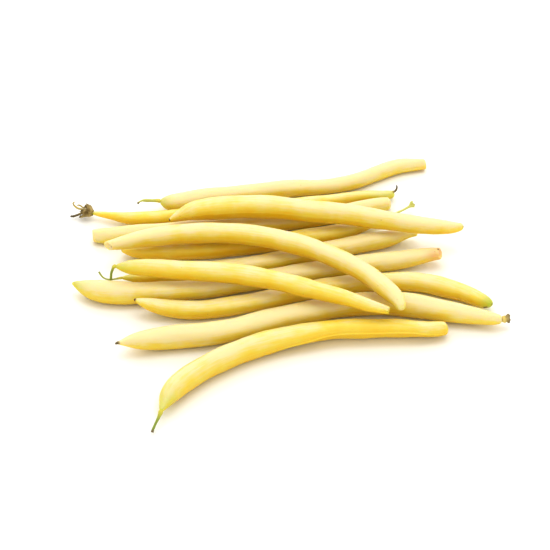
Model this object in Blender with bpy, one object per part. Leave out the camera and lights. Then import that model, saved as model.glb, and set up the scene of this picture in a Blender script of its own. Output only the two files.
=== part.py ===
"""A loose bundle of twelve wax beans, the yellow kind of snap bean, lying in a heap.

Each pod is one solid lofted along its own curve. A laying rule finds how high every pod comes to
rest: on the table, or across the pods already under it. Units are metres, +Z is up, the bundle's
length runs along X and its front faces -Y.
"""
import math

import bmesh
import bpy
import numpy as np
from mathutils import Matrix

MM = 0.001

# Driving sizes, in millimetres.
GAP = 0.35           # room left between a pod and whatever it rests on
FLAT = 0.35          # how much of a ground pod's underside is flattened by its weight
STEM_GAP = 0.3       # room between a pod's end and its stem
SIDES = 12           # facets around a pod
RINGS = 30           # rings along a pod
STEM_SIDES = 8
THROUGH = 0.95       # a pod is a little flatter between its two seams than across them
BULGE = 0.05         # how far the skin sinks between two seeds, as a share of the half thickness
STEPS = 160          # samples along a pod for the laying rule

# One pod per entry, in the order they were dropped. A station is x, y, half thickness and lift,
# where lift is how far the pod's own curve raises that station above the pod's straight line.
# roll turns the pod about its length, in degrees. A pod on the table lies on one of its facets.
PODS = {
    "pod_front": dict(seeds=7, roll=30, stations=(
        (-46.5, -93, 0.7, 0), (-45.5, -89.5, 2.1, 0), (-43.5, -83, 4.3, 0), (-38, -75, 5.2, 0),
        (-31.5, -68.5, 5.4, 0), (-19, -59, 5.6, 0), (-6.5, -52, 5.7, 0), (4.5, -48, 5.7, 0),
        (15, -45, 5.5, 0), (28, -42.5, 5.4, 0), (40.5, -42, 5.3, 0), (53.5, -41.5, 4.9, 0),
        (62, -42, 4.4, 0), (70, -41.5, 3.7, 0), (74, -40.5, 2.9, 0))),
    "pod_ivory": dict(seeds=8, roll=0, stations=(
        (-66.5, -53.5, 0.5, 2.5), (-59.5, -51, 3.5, 1.5), (-53, -49, 4.9, 0.5),
        (-47, -47.5, 5.4, 0), (-40.5, -46.5, 5.7, 0), (-32, -45.5, 5.5, 0), (-19, -42.5, 5.3, 0),
        (-2, -36, 5.3, 0), (15, -30.5, 5.2, 0), (32.5, -26, 5.4, 0), (47.5, -25, 5.6, 0),
        (63, -27, 5.6, 0), (71.5, -29.5, 5.1, 0), (80, -31.5, 4.6, 0), (88.5, -33.5, 3.7, 0),
        (95, -35.5, 2.6, 0), (98, -35.5, 1.6, 0))),
    "pod_golden": dict(seeds=8, roll=30, stations=(
        (-61, -26.5, 0.5, 4.5), (-56, -27.5, 2.6, 3.2), (-47.5, -28, 3.9, 1),
        (-34.5, -28.5, 4.5, 0), (-19.5, -26, 4.6, 0), (-2, -21, 4.5, 0), (15.5, -15, 4.5, 0),
        (33, -11, 4.5, 0), (48.5, -9.5, 4.5, 0), (64, -10, 4.8, 0), (76.5, -14.5, 4.7, 0),
        (83, -17.5, 4.2, 0), (87.5, -20.5, 3.8, 0), (91.5, -23.5, 3, 0), (93.5, -24.5, 2.1, 0),
        (94.5, -25, 1.4, 0))),
    "pod_broad": dict(seeds=8, roll=0, stations=(
        (-88, -12, 1.1, 1), (-83, -14.5, 3.7, 0), (-78, -16.5, 5, 0), (-72, -17.5, 5.6, 0),
        (-63.5, -18, 5.3, 0), (-54.5, -17.5, 5.1, 0), (-33, -15, 4.8, 0), (-6.5, -8.5, 4.7, 0),
        (13, -3.5, 4.6, 0), (31, 0.5, 4.7, 0), (46.5, 4, 4.8, 0), (55.5, 5.5, 4.6, 0),
        (64.5, 7, 3.9, 1), (71.5, 7, 3, 2.6), (73.5, 6, 2.7, 3.6))),
    "pod_tucked": dict(seeds=6, roll=30, stations=(
        (-67.5, -6, 0.7, 0), (-62, -6, 2.2, 0), (-51, -4.5, 3.5, 0), (-33, -1.5, 4.1, 0),
        (-20, 0.5, 4.3, 0), (-6, 3.5, 4.4, 0), (11, 8.5, 4.5, 0), (29, 14, 4.5, 0),
        (43, 18.5, 4.5, 0), (47.5, 19.5, 4.4, 0), (52, 21, 4, 0), (56.5, 23, 3.2, 0),
        (61, 24, 1.8, 0), (64.5, 23.5, 0.7, 0))),
    "pod_shaded": dict(seeds=6, roll=0, stations=(
        (-69, 13, 0.7, 0), (-66.5, 13, 1.9, 0), (-63.5, 12.5, 2.8, 0), (-59.5, 12, 3.5, 0),
        (-51.5, 12, 3.9, 0), (-38, 12.5, 4.2, 0), (-27, 13.5, 4.2, 0), (-11, 16, 4.2, 0),
        (11.5, 21.5, 4.2, 0), (29.5, 26, 3.9, 0), (41, 31, 2.7, 0), (50, 36, 1.2, 0))),
    "pod_trimmed": dict(seeds=6, roll=-30, stations=(
        (-82.5, 23.5, 2.7, 0), (-79, 23.5, 3.4, 0), (-74.5, 23.5, 3.8, 0), (-65.5, 25, 4, 0),
        (-56.5, 26, 4, 0), (-34, 29, 4.1, 0), (-11.5, 31.5, 4.1, 0), (11.5, 34.5, 4.1, 0),
        (30, 39.5, 4, 0), (41.5, 44, 3.8, 0), (48.5, 46.5, 3.4, 0), (53.5, 47.5, 2.8, 0))),
    "pod_withered": dict(seeds=7, roll=0, stations=(
        (-84, 40, 0.7, 0), (-80.5, 39, 1.3, 0), (-75.5, 38, 1.9, 0), (-66.5, 36, 3.1, 0),
        (-52.5, 36.5, 3.7, 0), (-34.5, 39, 4, 0), (-11.5, 43, 4, 0), (11.5, 47, 3.5, 0),
        (23, 49.5, 3.1, 0), (35, 52.5, 2.7, 0), (44, 54, 2.5, 0), (50, 54, 2.3, 0),
        (53.5, 54.5, 2.1, 0), (55.5, 55, 1.8, 0))),
    "pod_back": dict(seeds=6, roll=0, stations=(
        (-53, 46.5, 0.9, 1.2), (-51.5, 46.5, 2.1, 1), (-50, 46, 3.3, 0.6), (-47, 46.5, 4.2, 0.2),
        (-41.5, 48, 4.6, 0), (-32.5, 50.5, 4.6, 0), (-11.5, 54.5, 4.5, 0), (7, 58.5, 4.4, 0),
        (21, 59.5, 3.9, 0), (35, 63, 3.8, 0), (49.5, 71.5, 3.8, 0), (59, 76.5, 3.7, 0),
        (65.5, 77.5, 3.1, 0), (71, 78, 2.5, 0))),
    "pod_crossing": dict(seeds=6, roll=-15, stations=(
        (-69.5, -11, 0.8, 0), (-65, -11.5, 2.7, 0), (-54.5, -12, 4, 0), (-43.5, -13.5, 4.4, 0),
        (-32.5, -14.5, 4.6, 0), (-19.5, -16, 4.8, 0), (-5, -19.5, 4.5, 0), (11, -25, 4.4, 0),
        (23.5, -30, 3.9, 0), (32, -33.5, 3.3, 0), (40.5, -38, 2.8, 0), (48.5, -41, 1.7, 0))),
    "pod_arched": dict(seeds=7, roll=10, stations=(
        (-74, 5.5, 2.3, 0), (-69.5, 7, 2.9, 0), (-66, 8, 3.6, 0), (-62, 9.5, 4, 0),
        (-55.5, 11, 4.5, 0), (-42.5, 13, 4.9, 0), (-27, 13.5, 5.1, 0), (-11, 11.5, 5.1, 0),
        (2, 7.5, 5.1, 0), (15.5, 1.5, 5, 0), (28.5, -7, 4.8, 0), (41, -18.5, 4.5, 0),
        (48.5, -28.5, 4.2, 0), (52.5, -35, 3.3, 0), (54, -41, 1.7, 0))),
    "pod_top": dict(seeds=6, roll=-10, stations=(
        (-48, 26.5, 0.5, -4), (-44, 27.5, 2.3, -2.5), (-38.5, 29, 4.2, -1), (-29.5, 30, 5.4, 0),
        (-16, 31.5, 5.7, 0), (0, 31.5, 5.6, 0), (16, 29, 5.4, 0), (31.5, 27, 5.3, 0),
        (51.5, 22.5, 4.6, 0), (65, 19.5, 4.1, 0), (74, 18.5, 3.6, 0), (78.5, 18, 3, 0),
        (83, 18.5, 1.9, 0), (84.5, 19, 1.3, 0))),
}

# Stems, each a tapering tube that starts just off one end of its pod: which end, then points as
# steps from that end with a half thickness. The last points flare where a stem was snapped off.
STEMS = {
    "stem_front": ("pod_front", 0, "stem_green", (
        (0, 0, 0, 0.9), (-0.7, -2.2, -0.7, 0.65), (-1.9, -4.7, -1.8, 0.5), (-2.9, -7, -2.9, 0.48),
        (-3.3, -8.2, -3.6, 0.6))),
    "stem_tucked": ("pod_tucked", 0, "stem_green", (
        (0, 0, 0, 0.6), (-3, -0.3, -0.6, 0.36), (-6.5, -0.2, -1, 0.33), (-8.7, 0.9, -0.3, 0.33),
        (-10, 2.2, 1.5, 0.4))),
    "stem_shaded": ("pod_shaded", 1, "stem_green", (
        (0, 0, 0, 0.8), (3.5, 2.3, 0.1, 0.5), (7.5, 4.9, 0.3, 0.45), (11.4, 7.5, 0.7, 0.5),
        (13.1, 9.1, 1.1, 1.35))),
    "stem_back": ("pod_back", 0, "stem_green", (
        (0, 0, 0, 0.85), (-3.5, 0.1, 0.1, 0.7), (-6.8, 0.1, 0.1, 0.66), (-8.4, 0.3, 0, 0.36),
        (-9.5, -0.5, -0.3, 0.36), (-9.9, -1.2, -0.6, 0.5))),
    "stem_crossing": ("pod_crossing", 0, "stem_green", (
        (0, 0, 0, 0.75), (-0.9, -0.3, -1.2, 0.55), (-1.7, -0.5, -3, 0.5), (-2, -0.8, -5, 0.5),
        (-2.1, -1.2, -6.5, 0.55))),
    "stem_ivory": ("pod_ivory", 1, "dry_husk", (
        (0, 0, 0, 1.4), (0.8, 0.1, 0, 1.2), (1.5, 0.2, 0.1, 1.4), (2.1, 0.3, 0.1, 1.5),
        (2.6, 0.3, 0.1, 1.25))),
}

# The withered flower cup left on one pod: a lobed collar, then two thin curled threads.
CUP_RINGS = ((0, 0.9, 0.0), (1.2, 1.5, 0.1), (2.6, 2.4, 0.3), (4.0, 2.9, 0.4), (5.2, 2.6, 0.45),
             (6.2, 1.4, 0.3))                       # distance out, half thickness, depth of the lobes
CUP_THREADS = (
    ((5.0, 0.6, 0.4, 0.6), (7.2, 1.0, 0.3, 0.5), (8.7, 1.2, 1.2, 0.42), (9.1, 0.9, 2.8, 0.4),
     (8.0, 0.6, 4.0, 0.38)),
    ((4.6, -1.0, -0.8, 0.6), (6.4, -1.9, -1.5, 0.6), (8.0, -2.6, -2.0, 0.55), (9.3, -2.8, -2.1, 0.55)),
)

COLOURS = {"pod_skin": (0.93, 0.74, 0.22), "stem_green": (0.34, 0.43, 0.09), "dry_husk": (0.42, 0.29, 0.10)}


def smooth(points, count):
    """Runs one smooth curve through points, spaced by distance in plan, and samples it evenly."""
    p = np.asarray(points, float)
    far = np.concatenate(([0.0], np.cumsum(np.linalg.norm(np.diff(p[:, :2], axis=0), axis=1))))
    where = np.linspace(0.0, far[-1], count)
    slope = np.gradient(p, far, axis=0)
    k = np.clip(np.searchsorted(far, where, side="right") - 1, 0, len(far) - 2)
    h = (far[k + 1] - far[k])[:, None]
    t = (where[:, None] - far[k][:, None]) / h
    return where, ((2 * t**3 - 3 * t**2 + 1) * p[k] + (t**3 - 2 * t**2 + t) * h * slope[k]
                   + (-2 * t**3 + 3 * t**2) * p[k + 1] + (t**3 - t**2) * h * slope[k + 1])


def reach_down(roll):
    """How far below its centre line a pod's section reaches, as a share of its half thickness."""
    turns = [2 * math.pi * (k + 0.5) / SIDES for k in range(SIDES)]
    return max(-(math.cos(a) * math.sin(roll) + THROUGH * math.sin(a) * math.cos(roll)) for a in turns)


def lay(points, roll, laid):
    """Finds the heights at which a pod comes to rest on the table or on the pods laid before it.

    The pod is stiff. It settles on the two places, one on each side of its weight, that hold it up.
    """
    where, run = smooth(points, STEPS)
    thick, lift = run[:, 2], run[:, 3]
    floor = thick * reach_down(roll) - FLAT
    for other in laid:
        reach = thick[:, None] + other[None, :, 2] + GAP
        left = reach**2 - (run[:, None, 0] - other[None, :, 0])**2 - (run[:, None, 1] - other[None, :, 1])**2
        top = np.where(left > 0, other[None, :, 3] + np.sqrt(np.maximum(left, 0)), -1e9).max(axis=1)
        floor = np.maximum(floor, top)
    need = floor - lift
    middle = (where * thick**2).sum() / (thick**2).sum()
    best, tilt = -1e9, 0.0
    for i in np.nonzero(where <= middle)[0]:
        for j in np.nonzero(where > middle)[0]:
            slope = (need[j] - need[i]) / (where[j] - where[i])
            held = need[i] + slope * (middle - where[i])
            if held > best:
                best, tilt = held, slope
    height = best + tilt * (where - middle) + lift
    return np.column_stack((run[:, 0], run[:, 1], thick, height))


def frames(centres):
    """A side and an up direction square to the line at every centre."""
    along = np.gradient(centres, axis=0)
    along /= np.linalg.norm(along, axis=1)[:, None]
    side = np.cross(along[0], (0.0, 0.0, 1.0))
    side /= np.linalg.norm(side)
    sides = []
    for step in along:
        side = side - step * np.dot(side, step)
        side /= np.linalg.norm(side)
        sides.append(side)
    sides = np.array(sides)
    return along, sides, np.cross(sides, along)


def add_loft(bm, rings):
    """Skins a list of rings into one closed body with flat ends."""
    loops = [[bm.verts.new(point) for point in ring] for ring in rings]
    n = len(loops[0])
    for a, b in zip(loops, loops[1:]):
        for k in range(n):
            bm.faces.new((a[k], a[(k + 1) % n], b[(k + 1) % n], b[k]))
    bm.faces.new(list(reversed(loops[0])))
    bm.faces.new(loops[-1])
    bmesh.ops.recalc_face_normals(bm, faces=bm.faces[:])


def finish(name, bm, slot):
    """Turns the working mesh into a named object with its material."""
    mesh = bpy.data.meshes.new(name)
    bm.to_mesh(mesh)
    bm.free()
    body = bpy.data.objects.new(name, mesh)
    bpy.context.scene.collection.objects.link(body)
    mesh.materials.append(bpy.data.materials[slot])
    return body


def ring_around(centre, side, up, across, through, count, roll=0.0, lobes=0.0):
    """Points of one oval ring; lobes cuts three hollows into it."""
    points = []
    for k in range(count):
        a = 2 * math.pi * (k + 0.5) / count
        r = 1.0 - lobes * (0.5 - 0.5 * math.cos(3 * a))
        u, v = across * r * math.cos(a), through * r * math.sin(a)
        points.append(centre + side * (u * math.cos(roll) - v * math.sin(roll))
                      + up * (u * math.sin(roll) + v * math.cos(roll)))
    return points


def make_pod(name, spec, line):
    """Lofts one pod along its settled line, with its skin sinking a little between the seeds."""
    count = len(line)
    # Rings crowd towards the two ends, where the thickness changes fastest.
    even = np.linspace(0.0, 1.0, RINGS)
    place = 0.55 * even + 0.45 * (0.5 - 0.5 * np.cos(math.pi * even))
    rows = np.array([np.interp(place, np.linspace(0, 1, count), line[:, c]) for c in range(4)]).T
    centres = rows[:, (0, 1, 3)]
    _, side, up = frames(centres)
    roll = math.radians(spec["roll"])
    rings = []
    for k, t in enumerate(place):
        belly = math.sin(math.pi * min(max((t - 0.08) / 0.84, 0.0), 1.0))
        r = rows[k, 2] * (1.0 - BULGE * belly * (0.5 - 0.5 * math.cos(2 * math.pi * spec["seeds"] * t)))
        rings.append(ring_around(centres[k], side[k], up[k], r, r * THROUGH, SIDES, roll))
    bm = bmesh.new()
    # Where the pod's own weight presses it on the table, its underside is flat.
    add_loft(bm, [[(p[0] * MM, p[1] * MM, max(p[2], 0.0) * MM) for p in ring] for ring in rings])
    return finish(name, bm, "pod_skin")


def tube(points, count, sides):
    """Rings of a tapering tube through points of x, y, z and half thickness."""
    p = np.asarray(points, float)
    far = np.concatenate(([0.0], np.cumsum(np.linalg.norm(np.diff(p[:, :3], axis=0), axis=1))))
    rows = np.array([np.interp(np.linspace(0, far[-1], count), far, p[:, c]) for c in range(4)]).T
    rows[1:-1, :3] = 0.25 * rows[:-2, :3] + 0.5 * rows[1:-1, :3] + 0.25 * rows[2:, :3]
    _, side, up = frames(rows[:, :3])
    return [ring_around(rows[k, :3], side[k], up[k], rows[k, 3], rows[k, 3], sides) for k in range(count)]


def scaled(ring):
    return [(p[0] * MM, p[1] * MM, max(p[2], 0.02) * MM) for p in ring]


def make_stem(name, pod_line, end, slot, steps):
    """A stem that starts a hair's breadth off its pod's end face."""
    tip, inner = (pod_line[0], pod_line[2]) if end == 0 else (pod_line[-1], pod_line[-3])
    tip, inner = tip[[0, 1, 3]], inner[[0, 1, 3]]
    out = (tip - inner) / np.linalg.norm(tip - inner)
    start = tip + out * STEM_GAP
    points = [(start[0] + x, start[1] + y, start[2] + z, r) for x, y, z, r in steps]
    # The first face lies square to the pod, so the two faces meet flush.
    points.insert(1, tuple(start + out * 0.7) + (points[0][3] * 0.95,))
    bm = bmesh.new()
    add_loft(bm, [scaled(ring) for ring in tube(points, 9, STEM_SIDES)])
    return finish(name, bm, slot)


def make_cup(name, pod_line):
    """The dry flower cup: a lobed collar with two threads joined into it."""
    tip, inner = pod_line[0][[0, 1, 3]], pod_line[2][[0, 1, 3]]
    out = (tip - inner) / np.linalg.norm(tip - inner)
    side = np.cross(out, (0.0, 0.0, 1.0))
    side /= np.linalg.norm(side)
    up = np.cross(side, out)
    start = tip + out * STEM_GAP
    collar = [ring_around(start + out * d, side, up, r, r * 0.9, 12, 0.3 + 0.05 * d, lobes)
              for d, r, lobes in CUP_RINGS]
    parts = [collar]
    for thread in CUP_THREADS:
        points = [tuple(start + out * d + side * s + up * u) + (r,) for d, s, u, r in thread]
        parts.append(tube(points, 8, 6))
    bodies = []
    for k, rings in enumerate(parts):
        bm = bmesh.new()
        add_loft(bm, [scaled(ring) for ring in rings])
        bodies.append(finish(name if k == 0 else f"{name}_thread{k}", bm, "dry_husk"))
    cup = bodies[0]
    for extra in bodies[1:]:
        join = cup.modifiers.new("join", "BOOLEAN")
        join.operation = "UNION"
        join.solver = "EXACT"
        join.object = extra
        extra.hide_render = True
        extra.display_type = "WIRE"
    return cup


def main():
    for old in list(bpy.data.objects):
        bpy.data.objects.remove(old, do_unlink=True)
    for slot, colour in COLOURS.items():
        material = bpy.data.materials.new(slot)
        material.use_nodes = True
        shader = material.node_tree.nodes["Principled BSDF"]
        shader.inputs["Base Color"].default_value = (*colour, 1.0)
        shader.inputs["Roughness"].default_value = 0.45
    laid, lines = [], {}
    for name, spec in PODS.items():
        line = lay(spec["stations"], math.radians(spec["roll"]), laid)
        laid.append(line)
        lines[name] = line
    bodies = [make_pod(name, PODS[name], lines[name]) for name in PODS]
    for name, (pod, end, slot, steps) in STEMS.items():
        bodies.append(make_stem(name, lines[pod], end, slot, steps))
    bodies.append(make_cup("cup_withered", lines["pod_withered"]))
    # The origin goes under the middle of the whole bundle.
    deps = bpy.context.evaluated_depsgraph_get()
    corners = np.array([tuple(v.co) for body in bodies for v in body.evaluated_get(deps).data.vertices])
    middle = (corners.min(axis=0) + corners.max(axis=0)) / 2
    for body in bpy.data.objects:
        body.data.transform(Matrix.Translation((-middle[0], -middle[1], 0.0)))


main()
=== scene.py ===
"""Looks of a loose bundle of twelve yellow wax beans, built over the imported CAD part.

Each pod and stem of the part is measured where it lies and gets a finer skin there. The dried flower
cup and the two dry tips are set on the measured ends of their pods. Sizes inside the pieces are in
millimetres; the finished meshes are in metres, as the part is.
"""
import math

import bmesh
import bpy
import numpy as np
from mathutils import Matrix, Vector, noise


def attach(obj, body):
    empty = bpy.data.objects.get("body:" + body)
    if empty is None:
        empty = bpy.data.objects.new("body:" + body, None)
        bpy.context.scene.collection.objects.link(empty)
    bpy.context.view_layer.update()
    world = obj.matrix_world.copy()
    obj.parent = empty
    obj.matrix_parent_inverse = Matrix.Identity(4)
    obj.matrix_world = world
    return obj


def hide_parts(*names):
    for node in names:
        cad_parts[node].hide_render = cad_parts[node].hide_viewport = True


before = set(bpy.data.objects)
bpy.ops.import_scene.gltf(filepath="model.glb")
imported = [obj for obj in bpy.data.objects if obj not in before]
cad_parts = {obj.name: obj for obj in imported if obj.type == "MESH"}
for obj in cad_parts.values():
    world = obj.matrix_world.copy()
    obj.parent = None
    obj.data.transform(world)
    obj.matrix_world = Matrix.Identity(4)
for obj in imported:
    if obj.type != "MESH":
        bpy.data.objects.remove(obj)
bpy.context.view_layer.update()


# The waxy wall of all twelve pods. A ripe wax bean is cream to golden yellow, with faint streaks
# along it and fine pores. Only its ends are green or brown. The mesh of each pod says how pale, green,
# brown or blushed it is at each point, and gives places along and around it in millimetres. Its
# paleness holds painted light as well as the pod's own tone: a painted highlight on the upper skin and
# painted shade on the underside.

GOLDEN = (0.81, 0.56, 0.02)
YELLOW = (0.80, 0.65, 0.09)
CREAM = (0.80, 0.70, 0.39)
SEAM_CREAM = (0.90, 0.75, 0.25)
POD_GREEN = (0.47, 0.55, 0.06)
BRUISE_PINK = (0.80, 0.46, 0.20)
SCAR_BROWN = (0.13, 0.075, 0.025)
SCUFF_BROWN = (0.42, 0.24, 0.07)
PORE_DEPTH = 0.05       # mm


def add(tree, kind, inputs=(), **settings):
    """Adds one shader node; inputs are pairs of socket and value or other node's output."""
    made = tree.nodes.new(kind)
    for key, value in settings.items():
        setattr(made, key, value)
    for socket, value in inputs:
        if isinstance(value, bpy.types.NodeSocket):
            tree.links.new(value, made.inputs[socket])
        else:
            made.inputs[socket].default_value = value
    return made


def mixed(tree, share, first, second):
    """The colour between first and second at that share."""
    made = add(tree, "ShaderNodeMix", data_type="RGBA")
    for place, value in ((0, share), (6, first), (7, second)):
        if isinstance(value, bpy.types.NodeSocket):
            tree.links.new(value, made.inputs[place])
        else:
            made.inputs[place].default_value = value if place == 0 else (*value, 1.0)
    return made.outputs[2]


def maths(tree, operation, first, second=0.0, third=0.0, clamp=False):
    """One calculation with shader numbers."""
    return add(tree, "ShaderNodeMath", ((0, first), (1, second), (2, third)),
               operation=operation, use_clamp=clamp).outputs[0]


def mesh_value(tree, name, kind="Fac"):
    """What a piece's mesh says at each of its points."""
    return add(tree, "ShaderNodeAttribute", attribute_name=name).outputs[kind]


def grain(tree, place, scale, stretch=(1.0, 1.0, 1.0), detail=3.0):
    """Noise over the places along and around a piece; a stretch below 1 draws it out that way."""
    spread = add(tree, "ShaderNodeVectorMath", ((0, place), (1, stretch)), operation="MULTIPLY").outputs[0]
    return add(tree, "ShaderNodeTexNoise", (("Vector", spread), ("Scale", scale), ("Detail", detail),
                                            ("Roughness", 0.55))).outputs["Fac"]


def new_material(name):
    """A new material, its tree of shader nodes and its shader."""
    material = bpy.data.materials.new(name)
    material.use_nodes = True
    return material, material.node_tree, material.node_tree.nodes["Principled BSDF"]


def bump(tree, shader, height, deep):
    """Fine relief, deep millimetres from lowest to highest."""
    made = add(tree, "ShaderNodeBump", (("Height", height), ("Distance", deep * 0.001), ("Strength", 1.0)))
    tree.links.new(made.outputs["Normal"], shader.inputs["Normal"])


skin, tree, shader = new_material("bean_skin")
place = mesh_value(tree, "place", "Vector")
streaks = grain(tree, place, 1.0, (0.07, 1.1, 1.1))
threads = grain(tree, place, 1.0, (0.25, 5.0, 5.0), 2.0)
clouds = grain(tree, place, 0.11, detail=2.0)
pores = grain(tree, place, 2.3, (0.7, 1.0, 1.0), 2.0)
# pale from the mesh is the pod's own tone plus a painted highlight above and painted shade below
pale = maths(tree, "MULTIPLY_ADD", maths(tree, "SUBTRACT", clouds, 0.5), 0.9, mesh_value(tree, "pale"))
pale = maths(tree, "MULTIPLY_ADD", maths(tree, "SUBTRACT", streaks, 0.5), 0.7, pale)
pale = maths(tree, "MULTIPLY_ADD", maths(tree, "SUBTRACT", threads, 0.5), 0.3, pale, clamp=True)
ramp = add(tree, "ShaderNodeValToRGB", (("Fac", pale),))
ramp.color_ramp.elements[0].color = (*GOLDEN, 1.0)
ramp.color_ramp.elements[1].color = (*CREAM, 1.0)
middle = ramp.color_ramp.elements.new(0.5)
middle.color = (*YELLOW, 1.0)
colour = ramp.outputs["Color"]
colour = mixed(tree, maths(tree, "MULTIPLY", mesh_value(tree, "seam"), 0.18), colour, SEAM_CREAM)
green = maths(tree, "MULTIPLY", mesh_value(tree, "green"),
              maths(tree, "MULTIPLY_ADD", streaks, 1.2, 0.35), clamp=True)
colour = mixed(tree, green, colour, POD_GREEN)
blush = maths(tree, "MULTIPLY", mesh_value(tree, "blush"),
              maths(tree, "MULTIPLY_ADD", clouds, 1.0, 0.45), clamp=True)
colour = mixed(tree, blush, colour, BRUISE_PINK)
brown = maths(tree, "ADD", mesh_value(tree, "brown"),
              maths(tree, "MULTIPLY", maths(tree, "SUBTRACT", pores, 0.5), 0.9))
brown = add(tree, "ShaderNodeMapRange", (("Value", brown), ("From Min", 0.32),
                                         ("From Max", 0.72))).outputs[0]
colour = mixed(tree, brown, colour, SCAR_BROWN)
# A few tiny scuffs, each a pale brown point.
dots = add(tree, "ShaderNodeTexVoronoi", (("Vector", place), ("Scale", 0.16)), feature="F1")
near = add(tree, "ShaderNodeMapRange", (("Value", dots.outputs["Distance"]), ("From Min", 0.055),
                                        ("From Max", 0.02))).outputs[0]
rare = maths(tree, "GREATER_THAN", add(tree, "ShaderNodeSeparateColor",
                                       (("Color", dots.outputs["Color"]),)).outputs[0], 0.55)
scuffs = maths(tree, "MULTIPLY", maths(tree, "MULTIPLY", near, rare), 0.45)
colour = mixed(tree, scuffs, colour, SCUFF_BROWN)
tree.links.new(colour, shader.inputs["Base Color"])
gloss = maths(tree, "MULTIPLY_ADD", clouds, 0.16, 0.34)
gloss = maths(tree, "MULTIPLY_ADD", brown, 0.25, gloss, clamp=True)
tree.links.new(gloss, shader.inputs["Roughness"])
bump(tree, shader, maths(tree, "MULTIPLY_ADD", threads, 0.6, pores), PORE_DEPTH)
shader.inputs["Subsurface Weight"].default_value = 0.5
shader.inputs["Subsurface Radius"].default_value = (1.0, 0.72, 0.1)
shader.inputs["Subsurface Scale"].default_value = 0.004
shader.inputs["Specular IOR Level"].default_value = 0.5
shader.inputs["Coat Weight"].default_value = 0.3
shader.inputs["Coat Roughness"].default_value = 0.3


# The pods' shape. A pod is a hollow fleshy tube, flattened a little between two seams, swelling over
# each seed. It grew in one piece: a smooth skin with two seam lines, a stem end and a pointed end.
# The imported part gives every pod's rings; the skin runs through the same rings, rounder and finer.

POD_SIDES = 12          # corners of a packed pod's rings
SAME_POINT = 1e-6       # metres
SAME_PLANE = 0.9998     # the cosine between two faces of one flat end


def curve_through(points, at, where):
    """A smooth curve through points, which lie at distances at, read at distances where."""
    points = np.asarray(points, float)
    flat = points.reshape(len(points), -1)
    slope = np.gradient(flat, at, axis=0)
    k = np.clip(np.searchsorted(at, where, side="right") - 1, 0, len(at) - 2)
    h = (at[k + 1] - at[k])[:, None]
    t = np.clip((where - at[k])[:, None] / h, -0.5, 1.5)
    made = ((2 * t**3 - 3 * t**2 + 1) * flat[k] + (t**3 - 2 * t**2 + t) * h * slope[k]
            + (-2 * t**3 + 3 * t**2) * flat[k + 1] + (t**3 - t**2) * h * slope[k + 1])
    return made.reshape((len(where),) + points.shape[1:])


def rings_of(node, around):
    """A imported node's rings of points, left end first. A flat end face is the first ring, and the
    points that its edges lead on to are the next one, up to the other end."""
    bm = bmesh.new()
    bm.from_mesh(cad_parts[node].data)
    bmesh.ops.remove_doubles(bm, verts=bm.verts[:], dist=SAME_POINT)
    for start in bm.faces:
        flat = [start]
        for face in flat:
            flat += {f for e in face.edges for f in e.link_faces
                     if f.normal.dot(start.normal) > SAME_PLANE}.difference(flat)
        ring, done, rings = {v for f in flat for v in f.verts}, set(), []
        while ring:
            rings.append(np.array(sorted(tuple(v.co) for v in ring)) * 1000.0)
            done |= ring
            ring = {e.other_vert(v) for v in ring for e in v.link_edges} - done
        if all(len(ring) == around for ring in rings):
            break
    bm.free()
    return rings if rings[0][:, 0].mean() < rings[-1][:, 0].mean() else rings[::-1]


def measured(node, around):
    """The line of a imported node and, at each ring, the oval through its corners."""
    rings = rings_of(node, around)
    line = np.array([ring.mean(axis=0) for ring in rings])
    at = np.concatenate(([0.0], np.cumsum(np.linalg.norm(np.diff(line, axis=0), axis=1))))
    _, side, up = directions(line)
    ovals = []
    for k, ring in enumerate(rings):
        flat = np.stack(((ring - line[k]) @ side[k], (ring - line[k]) @ up[k]), axis=1)
        size, turn = np.linalg.eigh(2.0 * flat.T @ flat / len(flat))
        ovals.append(turn @ np.diag(np.sqrt(np.maximum(size, 1e-6))) @ turn.T)
    return line, at, np.array(ovals)


def directions(line):
    """Along, sideways (towards the front) and up at every point of a line."""
    along = np.gradient(line, axis=0)
    along /= np.linalg.norm(along, axis=1)[:, None]
    side = np.cross(along, (0.0, 0.0, 1.0))
    weak = np.linalg.norm(side, axis=1) < 0.05
    side[weak] = (0.0, -1.0, 0.0)
    side -= along * np.einsum("ij,ij->i", along, side)[:, None]
    side /= np.linalg.norm(side, axis=1)[:, None]
    return along, side, np.cross(side, along)


def tube_mesh(rows, around):
    """A closed tube with that many rings, and each point's ring and place around; -1 is a middle."""
    bm = bmesh.new()
    bmesh.ops.create_cone(bm, cap_ends=True, cap_tris=True, segments=around, radius1=1.0, radius2=1.0,
                          depth=rows - 1.0)
    long = [e for e in bm.edges if abs(e.verts[0].co.z - e.verts[1].co.z) > 0.5]
    bmesh.ops.subdivide_edges(bm, edges=long, cuts=rows - 2)
    co = np.array([v.co for v in bm.verts])
    row = np.round(co[:, 2] + (rows - 1) / 2).astype(int)
    column = np.round(np.arctan2(co[:, 1], co[:, 0]) / (2 * math.pi) * around).astype(int) % around
    column[np.hypot(co[:, 0], co[:, 1]) < 0.5] = -1
    return bm, row, column


def shape_tube(rows, around, points, middles, values, middle_values):
    """Moves a tube's points to their places and gives them their values."""
    bm, row, column = tube_mesh(rows, around)
    middle = column < 0
    at = np.where(middle, 0, row * around + column)
    last = (row > 0).astype(int)
    where = np.where(middle[:, None], np.asarray(middles)[last], np.asarray(points)[at])
    for v, spot in zip(bm.verts, where):
        v.co = spot
    bmesh.ops.recalc_face_normals(bm, faces=bm.faces[:])
    read = {}
    for key, value in values.items():
        value, ends_of = np.asarray(value), np.asarray(middle_values[key])
        pick = middle[:, None] if value.ndim == 2 else middle
        read[key] = np.where(pick, ends_of[last], value[at])
    return bm, read


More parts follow.
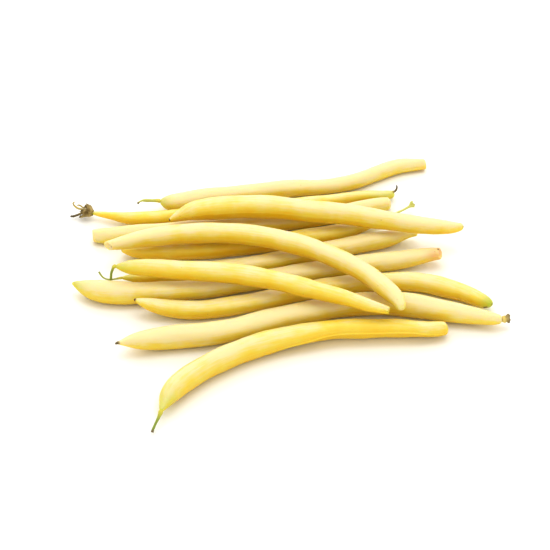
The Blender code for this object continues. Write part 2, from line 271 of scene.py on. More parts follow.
def finished(name, bm, values, material):
    """Makes the finished mesh in metres, with its values per point, and sets it on the part."""
    bmesh.ops.scale(bm, vec=(0.001, 0.001, 0.001), verts=bm.verts[:])
    for face in bm.faces:
        face.smooth = True
    mesh = bpy.data.meshes.new(name)
    bm.to_mesh(mesh)
    bm.free()
    for key, value in values.items():
        value = np.asarray(value, np.float32)
        kind = "FLOAT_VECTOR" if value.ndim == 2 else "FLOAT"
        mesh.attributes.new(key, kind, "POINT").data.foreach_set(
            "vector" if value.ndim == 2 else "value", value.ravel())
    mesh.materials.append(material)
    made = bpy.data.objects.new(name, mesh)
    bpy.context.scene.collection.objects.link(made)
    return made


# How an end closes, from its middle outwards: depth in from the end and share of the thickness.
ENDS = {
    "round": [(1 - math.cos(a), math.sin(a)) for a in np.radians((14, 28, 42, 55, 67, 78, 90))],
    "cut": [(0.55, 0.10), (0.52, 0.30), (0.42, 0.50), (0.22, 0.68), (0.06, 0.80), (0.0, 0.88),
            (0.03, 0.94), (0.16, 0.985), (0.45, 1.0)],
}
CLOSE_RINGS = 0.55      # mm between rings near a pod's ends
END_ZONE = 9.0          # mm of pod with close rings at each end
BODY_RINGS = 118        # rings along the rest of a pod
RING_ROOM = 0.15        # mm between an end's own rings and the first one along the pod
LINE_STEPS = 400        # points at which a pod's line is read
SMOOTHED_OVER = 14      # of those points, either way, over which the line is smoothed
SMOOTHING = 6.0         # the spread of that smoothing, in the same points
SEED_SWELL = 0.16       # how far the wall swells over a seed, in mm on a pod 10 mm thick
SQUARENESS = 0.022      # how far four flat sides show in a pod's ring
SLOW_UNEVEN = 0.16      # mm
QUICK_UNEVEN = 0.055    # mm
CALM_END = 8.0          # mm at each end over which seeds and unevenness die away
SMALL_END = 1.6         # mm; a thicker end closes no deeper than one of this half thickness
PATTERN_STEP = 37.0     # mm between two pods' patterns, so that no two are alike


def bump_at(distance, width):
    """One smooth hump."""
    return np.exp(-(distance / width) ** 2)


def make_pod(node, seam=0.0, seeds=7, ends=("round", "round"), pale=((0, 0.5),), green=(), brown=(),
             blush=(), spots=(), folds=(0.0, 0.0), ridge=0.05, under=0.0, slant=(0.0, 0.0), seed=0):
    """Skins one pod.

    Lists along the pod are of place, 0 to 1, and value: seam, the angle of its front seam below the
    side; ridge, how far that seam stands out; under, how flat the skin is below it; and pale. green,
    brown and blush hold (end, reach, strength). spots are (place along, angle, width in mm, depth in
    mm, brown), and for one on an end face its share of the way out from the middle. folds is how deep
    each end is puckered, slant how far each end leans.
    """
    line, at, ovals = measured(node, POD_SIDES)
    total = at[-1]
    rng = np.random.default_rng(seed)

    # Rings: close at both ends, where the shape changes, and each end closed by its own rings.
    inner = np.concatenate((np.arange(1.0, END_ZONE, CLOSE_RINGS),
                            np.linspace(END_ZONE, total - END_ZONE, BODY_RINGS),
                            total - np.arange(END_ZONE - CLOSE_RINGS, 0.9, -CLOSE_RINGS)))
    where, share = [], []
    sizes = [float(np.sqrt(np.linalg.det(o))) for o in (ovals[0], ovals[-1])]
    for d, m in ENDS[ends[0]]:
        where.append(d * min(sizes[0], SMALL_END))
        share.append(m)
    inner = inner[inner > where[-1] + RING_ROOM]
    tail = [(total - d * min(sizes[1], SMALL_END), m) for d, m in reversed(ENDS[ends[1]])]
    inner = inner[inner < tail[0][0] - RING_ROOM]
    where += list(inner) + [w for w, _ in tail]
    share += [1.0] * len(inner) + [m for _, m in tail]
    where, share = np.array(where), np.array(share)

    even = np.linspace(0.0, total, LINE_STEPS)
    path = curve_through(line, at, even)
    soft = np.exp(-0.5 * (np.arange(-SMOOTHED_OVER, SMOOTHED_OVER + 1) / SMOOTHING) ** 2)
    soft /= soft.sum()
    before = path[0] + (path[0] - path[SMOOTHED_OVER:0:-1])
    after = path[-1] + (path[-1] - path[-2:-2 - SMOOTHED_OVER:-1])
    padded = np.vstack((before, path, after))
    path = np.stack([np.convolve(padded[:, c], soft, "valid") for c in range(3)], axis=1)
    along, side, up = directions(path)

    def read(table):
        """What the smoothed line's table gives at every ring."""
        return np.stack([np.interp(where, even, table[:, c]) for c in range(3)], axis=1)

    centre, along, side, up = read(path), read(along), read(side), read(up)
    oval = curve_through(ovals, at, where)

    # Points around: close together over the two seams.
    close = np.array([-11.0, -7.5, -5.0, -3.0, -1.4, 0.0, 1.4, 3.0, 5.0, 7.5, 11.0])
    wide = np.linspace(11.0, 169.0, 15)[1:-1]
    turn = np.radians(np.concatenate((close, wide, close + 180.0, wide + 180.0)))
    n = len(turn)

    def along_pod(table):
        """The value of a list along the pod, or a plain number, at every ring."""
        table = ((0, table),) if np.isscalar(table) else table
        return np.interp(where / total, [p[0] for p in table], [p[1] for p in table])

    # At every point: s is its place along the pod, rel and a its angle from the seam and from the side,
    # m its share of the full thickness, and u and v how far it faces the front and up.
    s = np.repeat(where, n)
    rel = np.tile(turn, len(where))
    a = rel - np.radians(np.repeat(along_pod(seam), n))
    m = np.repeat(share, n)
    u, v = np.cos(a), np.sin(a)
    flat = np.einsum("rij,rkj->rki", oval, np.stack((u, v), axis=1).reshape(len(where), n, 2)).reshape(-1, 2)
    radius = np.linalg.norm(flat, axis=1)
    out = flat / radius[:, None]
    reach = np.minimum(s, total - s)
    calm = np.clip(reach / CALM_END, 0.0, 1.0)

    # The skin swells over each seed, most on the two broad faces between the seams.
    lift = -SQUARENESS * radius * np.cos(4.0 * rel) * calm
    starts = total * (0.10 + 0.80 * (np.arange(seeds) + 0.5) / seeds) + rng.uniform(-1.5, 1.5, seeds)
    gap = total * 0.80 / seeds
    for middle_of in starts:
        width, strength = gap * rng.uniform(0.27, 0.34), rng.uniform(0.7, 1.2)
        lift += (bump_at(s - middle_of, width) - 0.45) * strength \
            * SEED_SWELL * np.abs(np.sin(rel)) ** 1.4 * calm * radius / 5.0
    # Slow and quick unevenness of a grown thing.
    uneven = np.array([
        SLOW_UNEVEN * noise.noise(Vector((x / 13.0 + 7.1 * seed, y * 0.75, z * 0.75 + 3.3 * seed)))
        + QUICK_UNEVEN * noise.noise(Vector((x / 4.5 + 2.9 * seed, y * 1.9, z * 1.9)))
        for x, y, z in zip(s, u, v)])
    lift += uneven * (0.25 + 0.75 * calm) * np.clip(radius / 3.0, 0.1, 1.3)
    # The two seams: a thin raised cord on one side, a shallow groove with a fine rib on the other.
    cord = np.degrees(np.arctan2(np.sin(rel), np.cos(rel)))
    groove = np.degrees(np.arctan2(np.sin(rel - math.pi), np.cos(rel - math.pi)))
    scale = np.clip(radius / 4.0, 0.2, 1.2) * (0.3 + 0.7 * np.clip(reach / 5.0, 0, 1))
    proud = np.repeat(along_pod(ridge), n)
    lift += scale * proud * (bump_at(cord, 3.4) - 0.6 * bump_at(np.abs(cord) - 8.0, 3.2))
    below = np.clip(-cord / 112.0, 0.0, 1.0)
    lift -= np.repeat(along_pod(under), n) * np.sin(math.pi * below ** 0.6)
    lift += scale * (0.07 * bump_at(groove, 2.4) - 0.10 * bump_at(groove, 8.0))
    seam_value = np.maximum(bump_at(cord, 3.6) * np.clip(proud * 5.0, 0.15, 1.0), 0.2 * bump_at(groove, 3.0))
    seam_value = seam_value * np.clip(reach / 6.0, 0, 1)
    # Puckers run in from an end where the flesh dried or shrank.
    for end, deep in enumerate(folds):
        d = s if end == 0 else total - s
        lift -= deep * (0.5 + 0.5 * np.sin(7.0 * a + 1.3 * seed + 0.5 * np.sin(3 * a))) * np.exp(-d / 3.2)
    marks = np.zeros(len(s))
    for spot_at, angle, width, deep, dark, *inward in spots:
        near, outward = math.radians(angle), (inward or [1.0])[0]
        aside = radius * np.hypot(u * m - math.cos(near) * outward, v * m - math.sin(near) * outward)
        gone = np.hypot(s - spot_at * total, aside)
        lift -= deep * bump_at(gone, width)
        marks = np.maximum(marks, dark * bump_at(gone, width * 0.8))

    spread = (radius + lift) * m
    points = np.repeat(centre, n, axis=0)
    points = points + np.repeat(side, n, axis=0) * (out[:, 0] * spread)[:, None]
    points = points + np.repeat(up, n, axis=0) * (out[:, 1] * spread)[:, None]
    for end, lean in enumerate(slant):
        d = s if end == 0 else total - s
        points += np.repeat(along, n, axis=0) * (lean * u * m * np.exp(-(d / 3.0) ** 2))[:, None]
    points[:, 2] = np.maximum(points[:, 2], 0.0)
    middles = np.array([centre[0], centre[-1]])

    # The pod's own paleness along it, plus painted light: a painted highlight makes the upper skin paler
    # and painted shade makes the underside deeper golden. A cut face is paler than the skin.
    outer = m ** 6
    pattern = PATTERN_STEP * seed
    values = {"pale": np.repeat(along_pod(pale), n) + (0.75 * v - 0.12) * outer + 0.3 * (1.0 - outer),
              "seam": seam_value,
              "place": np.stack((s + pattern, radius * u * m, radius * v * m), axis=1)}
    middle_values = {"pale": [pale[0][1], pale[-1][1]], "seam": [0.0, 0.0],
                     "place": [(pattern, 0, 0), (pattern + total, 0, 0)]}
    for key, ends_of in (("green", green), ("brown", brown), ("blush", blush)):
        values[key], middle_values[key] = np.zeros(len(s)), [0.0, 0.0]
        for end, far, strength in ends_of:
            d = s if end == 0 else total - s
            values[key] = np.maximum(values[key], strength * np.exp(-(d / far) ** 2))
            middle_values[key][end] = strength
    values["brown"] = np.maximum(values["brown"], marks)
    bm, values = shape_tube(len(where), n, points, middles, values, middle_values)
    made = finished(node + "_skin", bm, values, skin)
    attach(made, "root")
    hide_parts(node)


# The front pod: one long bow, lying in front of the heap on the table. Its left end narrows to a
# green stem. Its right half is thinner, with the raised seam low on its front, and ends blunt.
make_pod("pod_front", seeds=7, seed=1,
         seam=((0, 24), (0.40, 20), (0.46, 12), (0.55, -1), (0.615, -16), (0.68, -20), (0.9, -20),
               (0.99, 8)),
         ridge=((0, 0.05), (0.42, 0.05), (0.47, 0.2), (0.95, 0.2), (1, 0.1)),
         under=((0, 0.0), (0.44, 0.0), (0.5, 0.7), (0.6, 1.5), (0.9, 1.2), (0.98, 0.2), (1, 0.0)),
         pale=((0, 0.38), (0.35, 0.42), (0.5, 0.2), (0.64, 0.0), (0.8, -0.1), (0.92, 0.1), (1, 0.3)),
         green=((0, 9, 0.55),),
         spots=((0.43, -40, 0.8, 0.8, 0.75),), folds=(0.25, 0.05))

# The ivory pod: a long pale one behind the front pod, with a dark pointed tip on the left and a thin
# neck on the right that ends in the dry knob where it hung on the plant.
make_pod("pod_ivory", seam=8, seeds=8, seed=2,
         pale=((0, 0.72), (0.4, 0.68), (0.64, 0.45), (0.8, 0.5), (1, 0.65)),
         brown=((0, 0.9, 0.8), (1, 0.6, 0.4)), folds=(0.05, 0.15))

# The golden pod: deep yellow, with a dark dry left tip. It curves down at its right end, which is
# green and browned below.
make_pod("pod_golden", seam=5, seeds=8, seed=3,
         pale=((0, 0.4), (0.2, 0.3), (0.8, 0.35), (0.93, 0.2), (1, 0.3)),
         brown=((0, 1.1, 0.95), (1, 0.7, 0.5)), green=((1, 4.2, 0.95),), folds=(0.05, 0.25),
         spots=((0.985, -30, 1.5, 0.1, 0.8), (0.968, -44, 1.4, 0.05, 0.7)))

# The broad pod: thick and pale, with a slanting greenish left tip and a pinkish, bruised right end
# that stands clear of the table.
make_pod("pod_broad", seam=0, seeds=8, seed=4,
         pale=((0, 0.45), (0.3, 0.55), (0.8, 0.6), (1, 0.75)),
         green=((0, 5.5, 0.5),), blush=((1, 6.5, 0.6),), brown=((0, 0.8, 0.3),), folds=(0.2, 0.3),
         ends=("round", "cut"), spots=((1.0, 100, 1.6, 0.4, 0.75), (0.99, 60, 0.7, 0.15, 0.5)),
         slant=(-1.2, 0.3))

# The tucked pod: lies under the crossing pod; its thin dark stem shows on the left, its pale right
# end between its neighbours.
make_pod("pod_tucked", seam=-4, seeds=6, seed=5, pale=((0, 0.3), (0.6, 0.4), (1, 0.6)),
         green=((0, 6, 0.5), (1, 8, 0.25)), folds=(0.1, 0.1))

# The shaded pod: golden, between the arched pod and the crossing pod. Its right end runs out into a
# thin green stem.
make_pod("pod_shaded", seam=6, seeds=6, seed=6, pale=((0, 0.15), (0.5, -0.1), (1, 0.35)),
         green=((1, 7, 0.6),), brown=((0, 0.8, 0.5),), folds=(0.0, 0.15))

# The trimmed pod: lies at the back of the heap, under the top pod. Its left end is cut square, with
# the cut face showing, and its right end is blunt.
make_pod("pod_trimmed", seam=10, seeds=6, seed=7, ends=("cut", "round"),
         pale=((0, 0.85), (0.12, 0.6), (0.5, 0.3), (1, 0.7)), blush=((0, 1.0, 0.15),), slant=(0.4, 0.0))

# The withered pod: lean and yellow, with the dried flower cup on its left end and a dark curved tip
# on its greener right end.
make_pod("pod_withered", seam=-6, seeds=7, seed=8, pale=((0, 0.15), (0.3, 0.0), (0.7, 0.25), (1, 0.35)),
         green=((0, 3, 0.3), (1, 14, 0.45)), brown=((1, 0.7, 0.6), (0, 0.8, 0.7)), folds=(0.1, 0.15),
         spots=((0.215, -32, 0.7, 0.15, 1.0),))

# The back pod: pale cream above and yellow below, with a green hooked stem on the left and a cut,
# slightly browned face on the right.
make_pod("pod_back", seam=4, seeds=6, seed=9, ends=("round", "cut"),
         pale=((0, 0.5), (0.2, 0.7), (0.8, 0.65), (1, 0.7)), green=((0, 4, 0.5),),
         brown=((1, 0.35, 0.42),), blush=((1, 3, 0.3),), slant=(0.0, 0.35))

# The crossing pod: lies over the ones beside it from left to right. A green hooked stem on the left,
# a wrinkled blunt end on the right.
make_pod("pod_crossing", seam=12, seeds=6, seed=10, pale=((0, 0.3), (0.3, 0.32), (0.6, 0.2), (1, 0.32)),
         green=((0, 8, 0.5),), folds=(0.1, 0.7), brown=((1, 0.7, 0.35),), ends=("round", "cut"),
         spots=((0.985, 20, 0.6, 0.5, 0.35), (0.97, 75, 0.8, 0.45, 0.1), (0.955, -15, 0.8, 0.3, 0.1)))

# The arched pod: long and high, from a cut end on the left over the middle of the heap and down to
# its rounded tip at the front right.
make_pod("pod_arched", seam=2, seeds=7, seed=11, ends=("cut", "round"),
         pale=((0, 0.9), (0.04, 0.7), (0.2, 0.45), (0.7, 0.4), (1, 0.55)), green=((1, 6, 0.15),),
         blush=((0, 1.2, 0.12),), spots=((0.004, 5, 0.95, 0.3, 1.0, 0.5), (0.006, 75, 0.7, 0.4, 0.25)),
         folds=(0.2, 0.0), slant=(1.5, 0.0))

# The top pod: a thick one, lying over the back ones, golden in the middle and paler to the right,
# where it ends in a greyish scar. Its left tip is pointed.
make_pod("pod_top", seam=-8, seeds=6, seed=12, pale=((0, 0.3), (0.35, 0.25), (0.6, 0.4), (1, 0.6)),
         brown=((0, 0.9, 0.8), (1, 1.0, 0.55)), folds=(0.0, 0.3), green=((1, 3, 0.2),))


# The green stems. Each is the stalk by which a pod hung: tough, ribbed lengthwise, a little thicker
# where it joins the pod and flared where it was snapped off, with a dry, torn, brownish end.

DARK_GREEN = (0.20, 0.30, 0.03)
LEAF_GREEN = (0.42, 0.50, 0.08)
RIB_GREEN = (0.12, 0.17, 0.025)
PALE_GREEN = (0.66, 0.66, 0.22)
JOIN_YELLOW = (0.74, 0.64, 0.09)
TORN_BROWN = (0.24, 0.19, 0.10)
RIB_DEPTH = 0.06        # mm
STEM_SIDES = 8          # corners of a packed stem's rings
STEM_RINGS = 46
STEM_FACETS = 28
STEM_PATTERN_STEP = 41.0    # mm between two stems' patterns
STEM_FLOOR_ROOM = 0.03      # mm between a stem and the table, at least

stalk, tree, shader = new_material("bean_stem")
place = mesh_value(tree, "place", "Vector")
fibres = grain(tree, place, 1.0, (0.5, 5.0, 5.0))
patches = grain(tree, place, 0.6, detail=2.0)
colour = mixed(tree, patches, DARK_GREEN, LEAF_GREEN)
colour = mixed(tree, maths(tree, "MULTIPLY", fibres, 0.5), colour, RIB_GREEN)
colour = mixed(tree, mesh_value(tree, "tone"), colour, PALE_GREEN)
colour = mixed(tree, maths(tree, "MULTIPLY", mesh_value(tree, "join"), 0.8), colour, JOIN_YELLOW)
dry = maths(tree, "ADD", mesh_value(tree, "dry"),
            maths(tree, "MULTIPLY", maths(tree, "SUBTRACT", fibres, 0.5), 0.6))
dry = add(tree, "ShaderNodeMapRange", (("Value", dry), ("From Min", 0.3), ("From Max", 0.8))).outputs[0]
colour = mixed(tree, dry, colour, TORN_BROWN)
tree.links.new(colour, shader.inputs["Base Color"])
tree.links.new(maths(tree, "MULTIPLY_ADD", patches, 0.3, 0.38), shader.inputs["Roughness"])
bump(tree, shader, fibres, RIB_DEPTH)
shader.inputs["Subsurface Weight"].default_value = 0.08
shader.inputs["Subsurface Radius"].default_value = (0.6, 0.9, 0.2)
shader.inputs["Subsurface Scale"].default_value = 0.0008

# What has dried: the flower cup, the tips and the knob. It is thin brown plant tissue, darker and
# lighter in patches, streaked with fibres and almost black where it is driest.
HUSK_DARK = (0.22, 0.15, 0.035)
HUSK_LIGHT = (0.68, 0.54, 0.23)
FIBRE_BROWN = (0.16, 0.10, 0.04)
JOIN_STRAW = (0.86, 0.70, 0.22)
DRIEST = (0.075, 0.06, 0.04)
FIBRE_DEPTH = 0.09      # mm

husk, tree, shader = new_material("bean_husk")
place = mesh_value(tree, "place", "Vector")
fibres = grain(tree, place, 1.0, (0.8, 4.0, 4.0))
patches = grain(tree, place, 0.55, detail=3.0)
patches = add(tree, "ShaderNodeMapRange", (("Value", patches), ("From Min", 0.36), ("From Max", 0.62)))
colour = mixed(tree, patches.outputs[0], HUSK_DARK, HUSK_LIGHT)
colour = mixed(tree, maths(tree, "MULTIPLY", fibres, 0.5), colour, FIBRE_BROWN)
colour = mixed(tree, maths(tree, "MULTIPLY", mesh_value(tree, "join"), 0.8), colour, JOIN_STRAW)
colour = mixed(tree, mesh_value(tree, "dry"), colour, DRIEST)
tree.links.new(colour, shader.inputs["Base Color"])
tree.links.new(maths(tree, "MULTIPLY_ADD", fibres, 0.3, 0.55), shader.inputs["Roughness"])
bump(tree, shader, fibres, FIBRE_DEPTH)


def make_stem(node, pod_first, ribs=5, flare=0.0, collar=0.1, dry=0.55, join=1.6, material=stalk,
              tone=0.3, seed=0):
    """Skins one stem; pod_first says whether its left end is the one on the pod.

    ribs is how many ridges run along it, flare and collar how far it widens at its torn end and on the
    pod, in mm, join how far the pod's colour runs up it, in mm, and dry and tone how brown its torn
    end and how pale all of it is.
    """
    line, at, ovals = measured(node, STEM_SIDES)
    total = at[-1]
    if not pod_first:
        line, ovals = line[::-1], ovals[::-1]
        at = total - at[::-1]
    inner = np.linspace(0.0, total, STEM_RINGS)
    # The first rings sink a little into the pod's end, so that no light shows between them.
    where = np.concatenate(([-0.55, -0.3], inner, [total, total - 0.12]))
    share = np.concatenate(([0.85, 1.0], np.ones(STEM_RINGS), [0.72, 0.3]))
    n = STEM_FACETS
    turn = np.linspace(0.0, 2 * math.pi, n, endpoint=False)
    inside = np.clip(where, 0.0, total)
    centre = curve_through(line, at, inside)
    along, side, up = directions(curve_through(line, at, inner))
    along, side, up = (np.stack([np.interp(inside, inner, d[:, c]) for c in range(3)], axis=1)
                       for d in (along, side, up))
    centre = centre + along * np.minimum(where, 0.0)[:, None]
    size = np.sqrt([max(np.linalg.det(o), 1e-6) for o in curve_through(ovals, at, inside)])
    s, a, m = np.repeat(where, n), np.tile(turn, len(where)), np.repeat(share, n)
    radius = np.repeat(size, n)
    u, v = np.cos(a), np.sin(a)
    reach = total - s
    rough = np.array([noise.noise(Vector((x / 2.2 + 5.0 * seed, y * 1.3, z * 1.3)))
                      for x, y, z in zip(s, u, v)])
    spread = radius * (1.0 + 0.09 * np.cos(ribs * a + 0.25 * s) + 0.16 * rough)
    spread += collar * bump_at(s - 0.45, 0.4) + flare * bump_at(reach - 0.3, 0.8) \
        * (1.0 + 0.4 * np.sin(3 * a + seed))
    torn = np.where(m < 0.99, 0.0, bump_at(reach, 0.25)) * 0.22 * np.sin(5 * a + 2.0 * seed)
    points = np.repeat(centre, n, axis=0) + np.repeat(along, n, axis=0) * torn[:, None]
    points += np.repeat(side, n, axis=0) * (u * spread * m)[:, None]
    points += np.repeat(up, n, axis=0) * (v * spread * m)[:, None]
    points[:, 2] = np.maximum(points[:, 2], STEM_FLOOR_ROOM)
    pattern = STEM_PATTERN_STEP * seed
    values = {"place": np.stack((s + pattern, radius * u, radius * v), axis=1),
              "join": np.exp(-(np.maximum(s, 0.0) / join) ** 2), "tone": np.full(len(s), tone),
              "dry": dry * np.exp(-((total - s) / 1.1) ** 2)}
    middle_values = {"place": [(pattern, 0, 0), (pattern + total, 0, 0)], "join": [1.0, 0.0],
                     "tone": [tone, tone], "dry": [0.0, dry]}
    bm, values = shape_tube(len(where), n, points, (centre[0], centre[-1]), values, middle_values)
    made = finished(node + "_skin", bm, values, material)
    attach(made, "root")
    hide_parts(node)


make_stem("stem_front", False, seed=1, join=2.8, tone=0.05, dry=1.0)
make_stem("stem_tucked", False, ribs=4, seed=2, tone=0.35, collar=0.04, dry=0.4)
make_stem("stem_shaded", True, seed=3, tone=0.95, collar=0.03, flare=0.3, dry=0.3)
make_stem("stem_back", False, seed=4, tone=0.75, collar=0.05, dry=0.9)
make_stem("stem_crossing", False, seed=5, tone=0.05, collar=0.05, dry=0.4)

# The dry knob on the ivory pod's neck: the shrunken brown foot of a stem that broke off short. It
# grew on the pod, widens towards its torn end and has dried in place.
make_stem("stem_ivory", True, ribs=3, seed=6, collar=0.3, flare=0.6, dry=0.5, join=1.0,
          material=husk)


# The dried tips of two pods: what is left of the flower's style, a short dark spike that grew out of
# the pod's end. Each is a small tapered tube, sunk a little into the end.

BEAK_RINGS = 20
BEAK_FACETS = 12
BEAK_PATTERN_STEP = 7.0     # mm between the two tips' patterns
FLOOR_ROOM = 0.05           # mm between a dry piece and the table, at least


def make_beak(pod, left, length, thick, lift=0.0, bend=(0.0, 0.0), seed=0):
    """Adds the tip on a pod's left or right end.

    length and thick are its length and half thickness in mm, lift is how far it starts above the end's
    middle, and bend is how far it turns towards the front and up, as shares of its length.
    """
    line, _, _ = measured(pod, POD_SIDES)
    root, out = (line[0], line[0] - line[1]) if left else (line[-1], line[-1] - line[-2])
    out = out / np.linalg.norm(out)
    side = np.cross(out, (0.0, 0.0, 1.0))
    up = np.cross(side, out)
    far = np.linspace(-0.35, 1.0, BEAK_RINGS)
    turned = np.clip(far + 0.1, 0.0, 1.1) ** 1.5
    route = root + up * lift + length * (np.outer(far * (1.0 - 0.6 * turned), out)
                                         + np.outer(turned, side * bend[0] + up * bend[1]))
    n = BEAK_FACETS
    turn = np.tile(np.linspace(0.0, 2 * math.pi, n, endpoint=False), len(far))
    k = np.repeat(np.arange(len(far)), n)
    size = thick * np.interp(far, (-0.35, 0.1, 0.85, 1.0), (1.3, 1.1, 0.75, 0.35))[k] \
        * (1.0 + 0.12 * np.cos(3 * turn + 0.3 * k + seed))
    aside, above = size * np.cos(turn), size * np.sin(turn)
    _, across, over = directions(route)
    points = route[k] + across[k] * aside[:, None] + over[k] * above[:, None]
    points[:, 2] = np.maximum(points[:, 2], FLOOR_ROOM)
    pattern = BEAK_PATTERN_STEP * seed
    values = {"place": np.stack((far[k] * length + pattern, aside, above), axis=1),
              "dry": 0.45 + 0.5 * np.clip(far[k], 0.0, 1.0),
              "join": np.exp(-(np.maximum(far[k] + 0.3, 0) / 0.2) ** 2)}
    middle_values = {"place": [(pattern, 0, 0), (pattern + length, 0, 0)], "dry": [0.4, 0.95],
                     "join": [1.0, 0.0]}
    bm, values = shape_tube(len(far), n, points, (route[0], route[-1]), values, middle_values)
    made = finished(pod.replace("pod", "beak"), bm, values, husk)
    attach(made, "root")


make_beak("pod_withered", False, 2.6, 0.42, lift=1.5, bend=(0.0, 1.2), seed=1)
make_beak("pod_ivory", True, 1.5, 0.55, bend=(0.1, -0.25), seed=2)


# The withered flower cup at the left end of one pod: five thin papery brown lobes, crumpled round the
# pod's tip, with three dry curled threads left of the flower. It grew there and has dried in place.

LOBE_THICKNESS = 0.1    # mm
CRUMPLE = 0.8           # mm
LOBE_STEPS = 16, 9      # faces along and across a lobe
THREAD_RINGS = 34
THREAD_FACETS = 10
CUP_GAP = 0.3           # mm from the pod's end to where the cup's places are counted from
CUP_FLATNESS = 0.88     # the cup's height as a share of its width

line, _, _ = measured("pod_withered", POD_SIDES)
outward = line[0] - line[1]
outward /= np.linalg.norm(outward)
sideways = np.cross(outward, (0.0, 0.0, 1.0))
sideways /= np.linalg.norm(sideways)
upward = np.cross(sideways, outward)
lobes = bmesh.new()
place_layer = lobes.verts.layers.float_vector.new("place")
dry_layer = lobes.verts.layers.float.new("dry")
join_layer = lobes.verts.layers.float.new("join")


def cup_point(d, s, u):
    """The place d out from the pod's end, s to the front of its line and u above it."""
    return Vector(line[0] + outward * (CUP_GAP + d) + sideways * s + upward * u)


def petal(angle, length, width, curl, wave, shift):
    """One papery lobe: a thin sheet that starts on the pod's tip and reaches out round it.

    angle is where it starts round the tip, curl how far its end closes in, and wave how far it
    ripples, both in mm; shift makes each lobe crumple in its own way.
    """
    made = bmesh.ops.create_grid(lobes, x_segments=LOBE_STEPS[0], y_segments=LOBE_STEPS[1],
                                 size=1.0)["verts"]
    for point in made:
        t, w = point.co.x * 0.5 + 0.5, point.co.y
        half = width * math.sin(math.pi * min(0.16 + 0.84 * t, 1.0) ** 0.8) + 0.12 * (1 - t)
        crumple = CRUMPLE * noise.noise(Vector((t * 3.1 + shift, w * 1.9, shift))) * (0.4 + t)
        rad = 1.35 + 2.5 * math.sin(1.25 * t) - curl * t * t + crumple \
            + wave * math.cos(3.0 * w + 4.0 * t + shift) * t
        bend = angle + w * half / 1.9
        point.co = cup_point(-0.8 + (length + 0.4) * t + 0.25 * w * w * t + crumple, rad * math.cos(bend),
                             CUP_FLATNESS * rad * math.sin(bend))
        point[place_layer] = (t * length, w * half, shift)
        point[dry_layer] = 0.35 * t ** 4 + 0.25 * abs(w) ** 3 * t
        point[join_layer] = 0.25 * math.exp(-(5.0 * t) ** 2)
    faces = dict.fromkeys(face for point in made for face in point.link_faces)
    bmesh.ops.solidify(lobes, geom=list(faces), thickness=LOBE_THICKNESS)


def thread(stations, seed, dark=0.0, pale=0.0):
    """One dry curled thread of the flower, through stations of place out, sideways and up and half
    thickness; dark is how black its tip is and pale how straw-coloured it is."""
    route = np.array([cup_point(*p[:3]) for p in stations])
    far = np.concatenate(([0.0], np.cumsum(np.linalg.norm(np.diff(route, axis=0), axis=1))))
    where = np.linspace(0.0, far[-1], THREAD_RINGS)
    route = curve_through(route, far, where)
    size = np.interp(where, far, [p[3] for p in stations])
    size[[0, -1]] *= 0.55
    _, side, up = directions(route)
    n = THREAD_FACETS
    a = np.tile(np.linspace(0.0, 2 * math.pi, n, endpoint=False), len(where))
    k = np.repeat(np.arange(len(where)), n)
    r = size[k] * (1.0 + 0.15 * np.cos(2 * a + 0.2 * k) + np.array(
        [0.22 * noise.noise(Vector((i * 0.35 + seed, math.cos(b), math.sin(b)))) for i, b in zip(k, a)]))
    points = route[k] + side[k] * (r * np.cos(a))[:, None] + up[k] * (r * np.sin(a))[:, None]
    values = {"place": np.stack((where[k], r * np.cos(a) + seed, r * np.sin(a)), axis=1),
              "dry": dark * (k / (len(where) - 1.0))}
    bm, values = shape_tube(len(where), n, points, (route[0], route[-1]), values,
                            {"place": [(0.0, seed, 0.0), (far[-1], seed, 0.0)], "dry": [0.0, dark]})
    loose = bpy.data.meshes.new("thread")
    bm.to_mesh(loose)
    bm.free()
    before = len(lobes.verts)
    lobes.from_mesh(loose)
    bpy.data.meshes.remove(loose)
    lobes.verts.ensure_lookup_table()
    for i, (spot, dry) in enumerate(zip(values["place"], values["dry"])):
        lobes.verts[before + i][place_layer] = spot
        lobes.verts[before + i][dry_layer] = dry
        lobes.verts[before + i][join_layer] = pale


# The lobes, from the front one up and round to the lower one, then the threads: a pale hooked one, a
# black one that hangs forward and a short pale one.
petal(0.3, 4.6, 1.9, 1.2, 0.40, 1.0)
petal(1.5, 2.4, 1.9, -1.3, 0.30, 2.0)
petal(2.6, 5.0, 2.0, 1.3, 0.45, 3.0)
petal(3.8, 5.2, 2.0, 1.0, 0.35, 4.0)
petal(5.0, 4.8, 2.0, 1.3, 0.35, 5.0)
thread(((1.5, 0.2, 0.2, 0.5), (5.0, 0.6, 0.4, 0.5), (7.2, 1.0, 0.3, 0.42), (8.7, 1.2, 1.2, 0.36),
        (9.1, 0.9, 2.8, 0.32), (8.0, 0.6, 4.0, 0.26)), 2, pale=0.6)
thread(((1.5, -0.4, -0.2, 0.5), (4.6, -1.0, -0.8, 0.5), (6.4, -1.9, -1.5, 0.44), (8.0, -2.6, -2.0, 0.46),
        (9.3, -2.8, -2.1, 0.4)), 3, dark=0.9)
thread(((2.0, 0.0, 0.6, 0.4), (4.4, 0.5, 1.8, 0.34), (6.0, 0.2, 2.9, 0.28), (6.6, -0.7, 3.3, 0.22)), 4,
       pale=0.4)
for point in lobes.verts:
    point.co.z = max(point.co.z, FLOOR_ROOM)
cup = finished("cup_withered_skin", lobes, {}, husk)
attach(cup, "root")
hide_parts("cup_withered")


# The table: a plain matt white sheet, faintly mottled, that runs on past the picture's edges. The
# beans only lie on it, so it is the stage and no piece of the bundle.

SHEET_HALF = 4.0        # metres
SHEET_WHITE = (0.90, 0.90, 0.90)
SHEET_BRIGHT = (0.93, 0.93, 0.925)

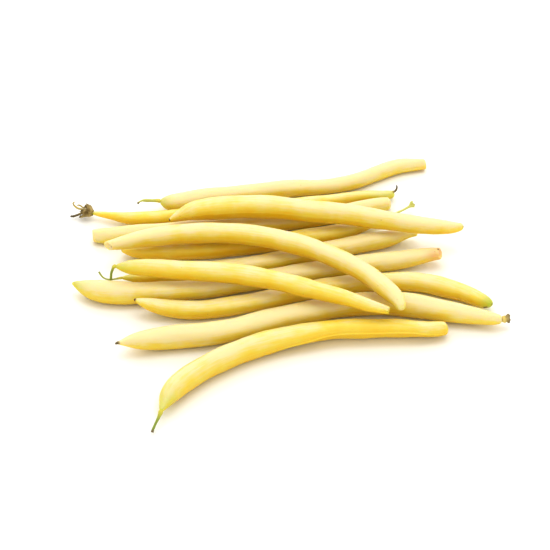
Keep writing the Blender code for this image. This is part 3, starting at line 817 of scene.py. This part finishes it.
sheet = bmesh.new()
bmesh.ops.create_grid(sheet, x_segments=2, y_segments=2, size=SHEET_HALF)
floor_mesh = bpy.data.meshes.new("floor")
sheet.to_mesh(floor_mesh)
sheet.free()
floor = bpy.data.objects.new("floor", floor_mesh)
bpy.context.scene.collection.objects.link(floor)
paper, tree, shader = new_material("white_table")
place = add(tree, "ShaderNodeTexCoord").outputs["Object"]
mottle = add(tree, "ShaderNodeTexNoise", (("Vector", place), ("Scale", 40.0), ("Detail", 2.0)))
colour = mixed(tree, mottle.outputs["Fac"], SHEET_WHITE, SHEET_BRIGHT)
tree.links.new(colour, shader.inputs["Base Color"])
shader.inputs["Roughness"].default_value = 0.7
shader.inputs["Specular IOR Level"].default_value = 0.2
floor_mesh.materials.append(paper)

# The light of a white studio: bright, faintly warm surroundings, one soft lamp almost overhead and one
# wide soft window behind the beans. Both lamps are aimed at the middle of the table.

world = bpy.data.worlds.new("white_room")
world.use_nodes = True
world.node_tree.nodes["Background"].inputs["Color"].default_value = (1.0, 0.98, 0.94, 1.0)
world.node_tree.nodes["Background"].inputs["Strength"].default_value = 0.93
bpy.context.scene.world = world


def soft_light(name, spot, size, power):
    """A flat lamp of that width and height in metres; power is in watts."""
    middle_of_table = Vector((0.0, 0.0, 0.0))
    lamp = bpy.data.lights.new(name, "AREA")
    lamp.shape = "RECTANGLE"
    lamp.size, lamp.size_y = size
    lamp.energy = power
    made = bpy.data.objects.new(name, lamp)
    made.location = spot
    made.rotation_euler = (middle_of_table - Vector(spot)).to_track_quat("-Z", "Y").to_euler()
    bpy.context.scene.collection.objects.link(made)


soft_light("overhead", spot=(0.03, 0.10, 0.75), size=(0.6, 0.4), power=1.1)
soft_light("window", spot=(0.0, 0.85, 0.55), size=(1.3, 0.7), power=2.4)

# The camera stands where the photograph was taken from: straight in front, 40 degrees up. The picture
# is exposed brightly and with soft contrast, so that the table is white and the shade between the
# pods stays yellow.

TILT = math.radians(40.0)
DISTANCE = 0.9                      # metres
AIM_X, AIM_Y = -0.003417, 0.010651  # the point on the table that it looks at, in metres
FOCAL_PIXELS = 2022.5               # focal length in pixels of a picture PICTURE_WIDTH wide
PICTURE_WIDTH = 550.0

lens = bpy.data.cameras.new("camera")
camera = bpy.data.objects.new("camera", lens)
bpy.context.scene.collection.objects.link(camera)
camera.location = (AIM_X, AIM_Y - DISTANCE * math.cos(TILT), DISTANCE * math.sin(TILT))
camera.rotation_euler = (math.pi / 2 - TILT, 0.0, 0.0)
lens.sensor_width = 36.0
lens.lens = lens.sensor_width * FOCAL_PIXELS / PICTURE_WIDTH
lens.clip_start, lens.clip_end = 0.05, 20.0
bpy.context.scene.camera = camera
bpy.context.scene.view_settings.view_transform = "Standard"
bpy.context.scene.view_settings.gamma = 0.78
bpy.context.scene.view_settings.exposure = 0.24
bpy.context.scene.cycles.use_denoising = True
